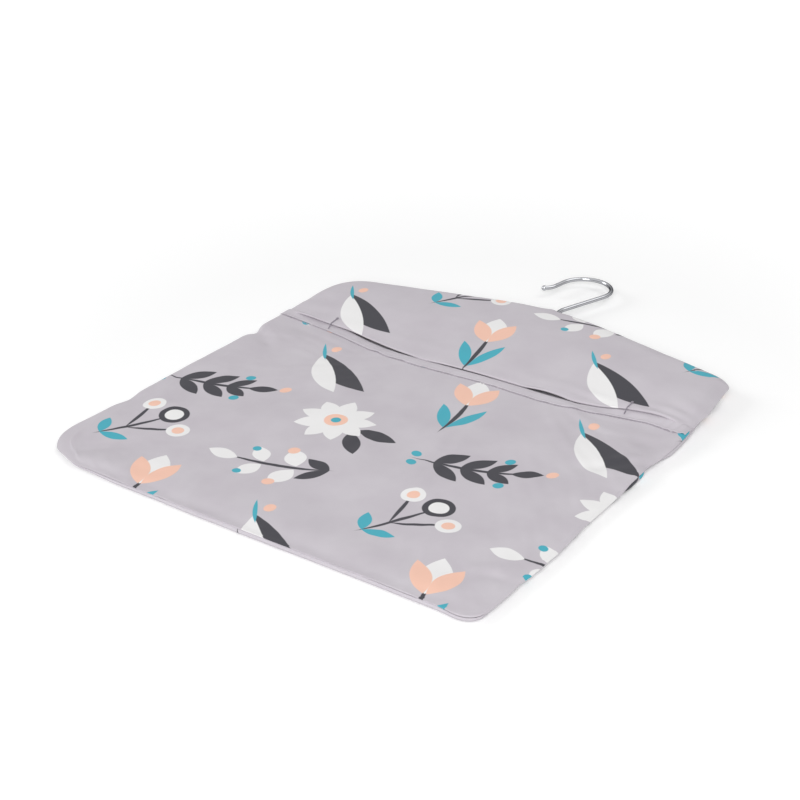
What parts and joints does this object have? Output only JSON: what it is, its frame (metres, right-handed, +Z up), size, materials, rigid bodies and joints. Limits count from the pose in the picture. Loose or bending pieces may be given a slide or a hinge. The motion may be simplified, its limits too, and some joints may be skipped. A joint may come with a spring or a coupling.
{
  "type": "peg bag",
  "caption": "Flat cotton bag with a bound slit mouth across its front, carried by a shaped wooden hanger inside its yoke with a swivelling wire hook.",
  "frame": {"origin": "on the table under the middle of the whole part, hook included, as it lies on its back", "axes": "+X across the bag to the right of someone facing its front, +Y from the bottom seam towards the hook, +Z up through the front"},
  "size_m": [0.37, 0.4932, 0.0142],
  "materials": {
    "printed_cotton": "plain woven cotton, lilac grey with a scattered print",
    "thread": "polyester sewing thread",
    "beech": "sanded and lacquered beech",
    "zinc_steel": "zinc plated steel",
    "chrome_wire": "chrome plated steel wire"
  },
  "bodies": {
    "bag": {"back_panel": "printed_cotton", "front_panel": "printed_cotton", "front_yoke": "printed_cotton", "mouth_binding": "printed_cotton", "yoke_hem": "printed_cotton", "bartack_left": "thread", "bartack_right": "thread", "seam_bottom": "printed_cotton", "seam_left": "printed_cotton", "seam_right": "printed_cotton", "seam_top_left": "printed_cotton", "seam_top_right": "printed_cotton"},
    "hanger": {"hanger_bar": "beech", "hook_washer": "zinc_steel"},
    "hook": {"hook": "chrome_wire"}
  },
  "joints": [
    {"name": "hanger_drop", "type": "slide", "parent": "bag", "child": "hanger", "axis": [0, 1, 0], "range_m": [-0.015, 0]},
    {"name": "hook_swivel", "type": "hinge", "parent": "hanger", "child": "hook", "pos_m": [0, 0.162, 0.0071], "axis": [0, 1, 0], "continuous": true}
  ]
}
